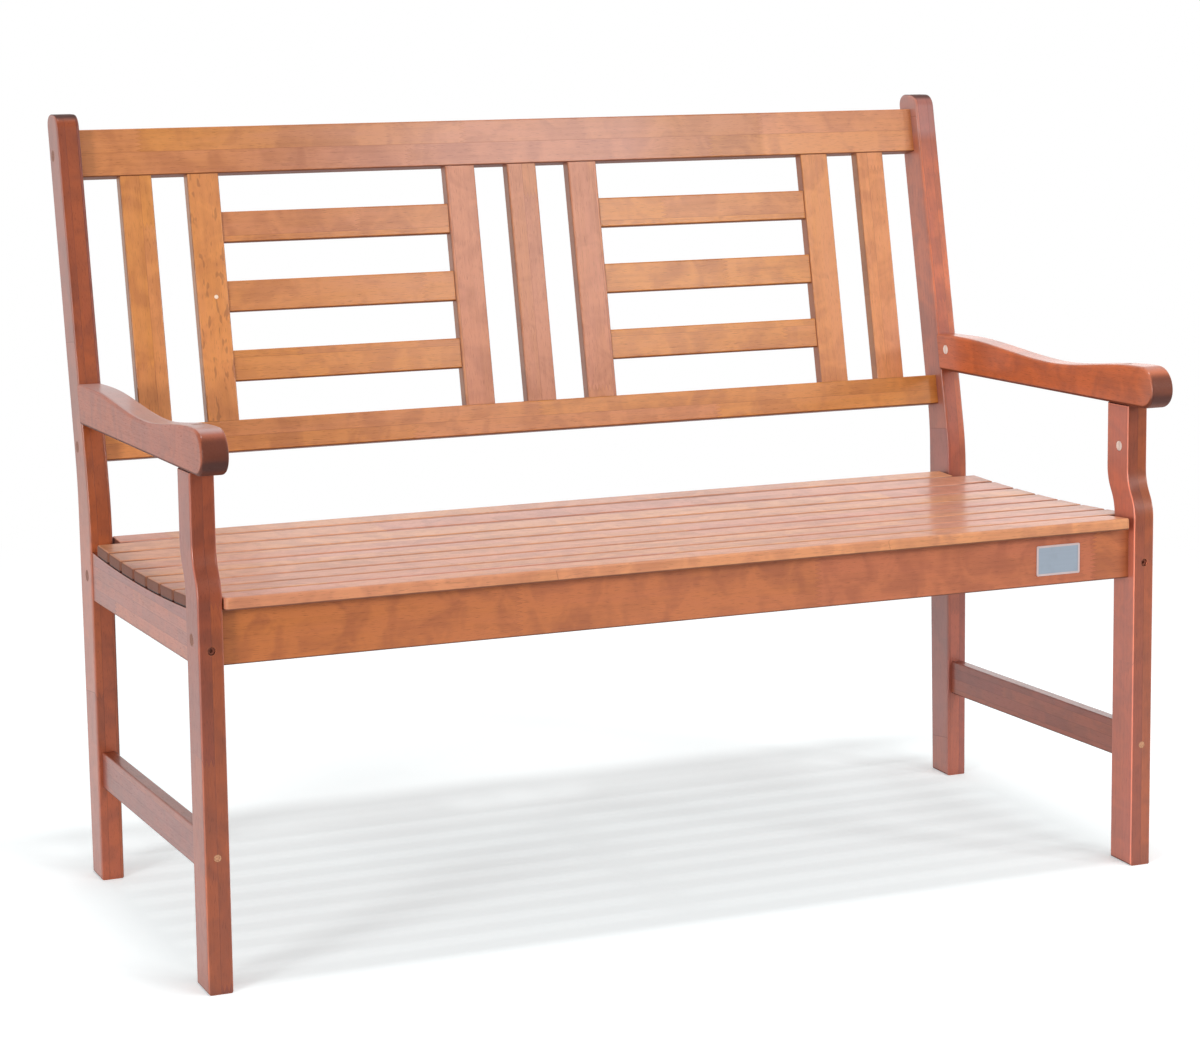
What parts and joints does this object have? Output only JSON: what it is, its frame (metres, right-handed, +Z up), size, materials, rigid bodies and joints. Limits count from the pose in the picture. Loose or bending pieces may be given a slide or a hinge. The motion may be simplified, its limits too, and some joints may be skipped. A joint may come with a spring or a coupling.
{
  "type": "outdoor bench",
  "caption": "Two-seat slatted garden bench with a leaning framed back, scroll-nosed armrests and bolted end frames.",
  "frame": {"origin": "on the floor, under the middle of the bench's overall length and depth", "axes": "+X along the bench to the sitter's left, which is the right of someone who faces the seat; +Y from the seat to the back; +Z up"},
  "size_m": [1.203, 0.6286, 0.9116],
  "materials": {
    "frame_hardwood": "stained and oiled hardwood, satin, rounded edges",
    "rail_hardwood": "stained finger-jointed hardwood, satin",
    "seat_hardwood": "stained hardwood slats, satin, lighter with wear",
    "back_hardwood": "stained finger-jointed hardwood, satin",
    "plug_wood": "turned hardwood plugs, stained with the frame",
    "dowel_wood": "pale turned dowel, unfinished",
    "bolt_steel": "dark plated steel",
    "nut_steel": "bright zinc plated steel",
    "plate_aluminium": "satin sheet, bare field inside a paler border"
  },
  "bodies": {
    "root": {"arm_front_bolts": "bolt_steel", "arm_rear_bolts": "bolt_steel", "back_upright_1": "back_hardwood", "back_upright_2": "back_hardwood", "back_upright_3": "back_hardwood", "back_upright_4": "back_hardwood", "back_upright_5": "back_hardwood", "back_upright_6": "back_hardwood", "back_upright_7": "back_hardwood", "barrel_nuts": "nut_steel", "bolt_plugs": "plug_wood", "centre_bearer": "rail_hardwood", "crest_rail": "back_hardwood", "cross_bolts": "bolt_steel", "end_frame_bolts": "bolt_steel", "end_frame_dowels": "dowel_wood", "frame_dowels": "dowel_wood", "front_apron": "rail_hardwood", "front_seat_slat": "seat_hardwood", "label_plate": "plate_aluminium", "left_armrest": "frame_hardwood", "left_front_leg": "frame_hardwood", "left_panel_slat_1": "back_hardwood", "left_panel_slat_2": "back_hardwood", "left_panel_slat_3": "back_hardwood", "left_rear_post": "frame_hardwood", "left_side_rail": "frame_hardwood", "left_stretcher": "frame_hardwood", "lower_back_rail": "back_hardwood", "rear_seat_rail": "rail_hardwood", "rear_seat_slat": "seat_hardwood", "right_armrest": "frame_hardwood", "right_front_leg": "frame_hardwood", "right_panel_slat_1": "back_hardwood", "right_panel_slat_2": "back_hardwood", "right_panel_slat_3": "back_hardwood", "right_rear_post": "frame_hardwood", "right_side_rail": "frame_hardwood", "right_stretcher": "frame_hardwood", "seat_slat_2": "seat_hardwood", "seat_slat_3": "seat_hardwood", "seat_slat_4": "seat_hardwood", "seat_slat_5": "seat_hardwood", "seat_slat_6": "seat_hardwood", "seat_slat_7": "seat_hardwood", "seat_slat_8": "seat_hardwood", "slat_dowels": "dowel_wood", "stile_pin": "dowel_wood", "stretcher_dowels": "dowel_wood"}
  },
  "joints": []
}
